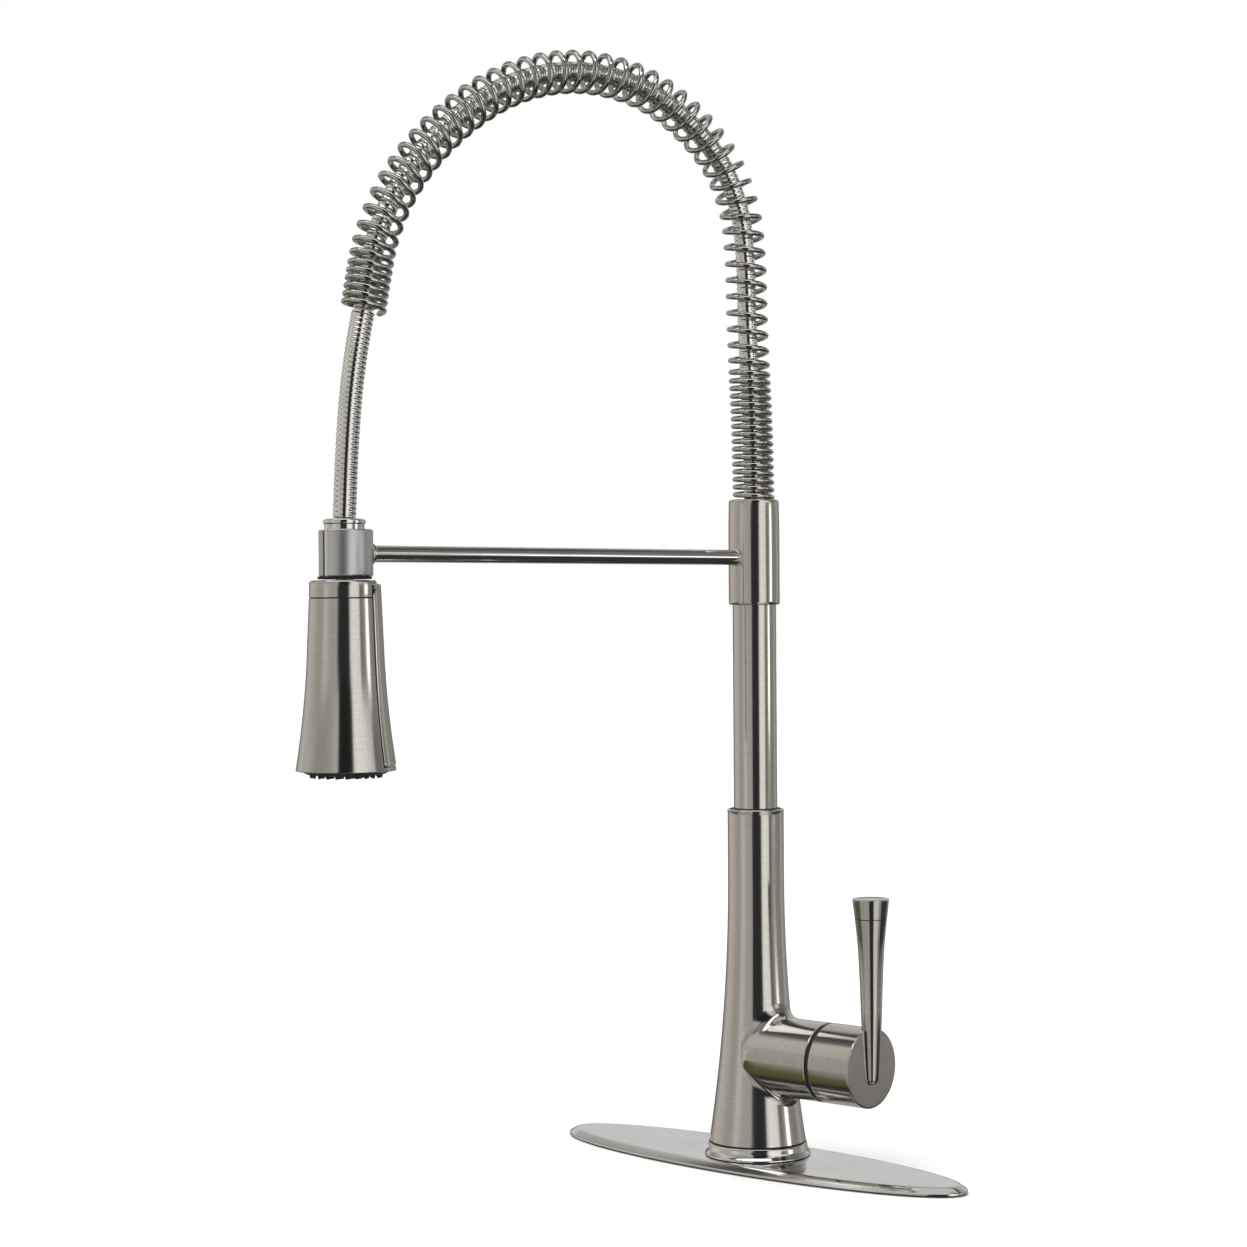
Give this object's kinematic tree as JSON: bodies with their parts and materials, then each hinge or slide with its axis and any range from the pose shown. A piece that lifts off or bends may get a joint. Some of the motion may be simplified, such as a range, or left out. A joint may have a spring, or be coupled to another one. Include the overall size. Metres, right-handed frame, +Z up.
{
  "type": "pull down kitchen faucet",
  "caption": "Tall single lever kitchen faucet with a coil spring arch, a docking arm, a pull down spray head and an oval deck plate.",
  "frame": {"origin": "on the column's axis, at the plane where the deck gasket rests on the sink deck", "axes": "+Z up along the column, +X towards the lever and along the deck plate, -Y towards the user"},
  "size_m": [0.26, 0.304, 0.6488],
  "materials": {
    "steel_brushed": "brushed",
    "steel_bright": "polished",
    "steel_satin": "satin",
    "spring_wire": "polished",
    "hose_sheath": "matte",
    "black_rubber": "matte",
    "dark_plastic": "matte",
    "brass_fitting": "machined",
    "zinc_hardware": "plated"
  },
  "bodies": {
    "base": {"deck_gasket": "black_rubber", "deck_plate": "steel_bright", "base_ring": "steel_bright", "mounting_shank": "brass_fitting", "clamp_rubber_washer": "black_rubber", "clamp_steel_washer": "zinc_hardware", "mounting_nut": "brass_fitting", "nut_screw_front": "zinc_hardware", "nut_screw_back": "zinc_hardware", "hot_inlet": "brass_fitting", "cold_inlet": "brass_fitting", "body_shell": "steel_brushed", "swivel_bush": "dark_plastic", "valve_cartridge": "dark_plastic", "bonnet_nut": "brass_fitting", "trim_ring": "black_rubber"},
    "mixer": {"valve_spindle": "brass_fitting"},
    "lever": {"valve_stem": "brass_fitting", "handle_hub": "steel_brushed", "hub_set_screw": "zinc_hardware", "handle_lever": "steel_brushed", "lever_cap": "steel_brushed"},
    "spout": {"spout_post": "steel_brushed", "support_sleeve": "steel_brushed", "sleeve_set_screw": "dark_plastic", "support_bar": "steel_bright", "dock_clip": "steel_satin", "dock_liner": "dark_plastic", "coil_spring": "spring_wire", "spring_ferrule": "brass_fitting", "hose_arch": "spring_wire", "hose_riser": "hose_sheath", "hose_ribs": "spring_wire", "hose_drop": "hose_sheath"},
    "neck": {"neck_collar": "steel_bright", "swivel_nipple": "brass_fitting"},
    "sprayhead": {"wand_shell": "steel_brushed", "wand_cap": "steel_brushed", "waterway_core": "dark_plastic", "check_valve": "brass_fitting", "core_o_ring": "black_rubber", "spray_plate": "dark_plastic", "spray_nozzles": "black_rubber", "aerator": "dark_plastic", "diffuser_seal": "black_rubber", "paddle_pin": "brass_fitting"},
    "paddle": {"spray_paddle": "steel_brushed"}
  },
  "joints": [
    {"name": "spout_swivel", "type": "hinge", "parent": "base", "child": "spout", "pos_m": [0, 0, 0.165], "axis": [0, 0, 1], "range_deg": [-170, 190]},
    {"name": "hose_pull", "type": "slide", "parent": "spout", "child": "neck", "axis": [0, 0, -1], "range_m": [0, 0.12], "stiffness_N_per_m": 60, "springref_m": -0.15, "deforming": ["hose_ribs", "hose_drop"]},
    {"name": "head_spin", "type": "hinge", "parent": "neck", "child": "sprayhead", "pos_m": [-0.04341, -0.2462, 0.3], "axis": [0, 0, 1], "continuous": true},
    {"name": "paddle_rock", "type": "hinge", "parent": "sprayhead", "child": "paddle", "pos_m": [-0.03373, -0.23808, 0.259], "axis": [-0.6428, 0.766, 0], "range_deg": [-1.2, 1.2]},
    {"name": "handle_turn", "type": "hinge", "parent": "base", "child": "mixer", "pos_m": [0.038, 0, 0.0567], "axis": [1, 0, 0], "range_deg": [-45, 45]},
    {"name": "handle_lift", "type": "hinge", "parent": "mixer", "child": "lever", "pos_m": [0.038, 0, 0.0567], "axis": [0, 1, 0], "range_deg": [0, 16]}
  ]
}
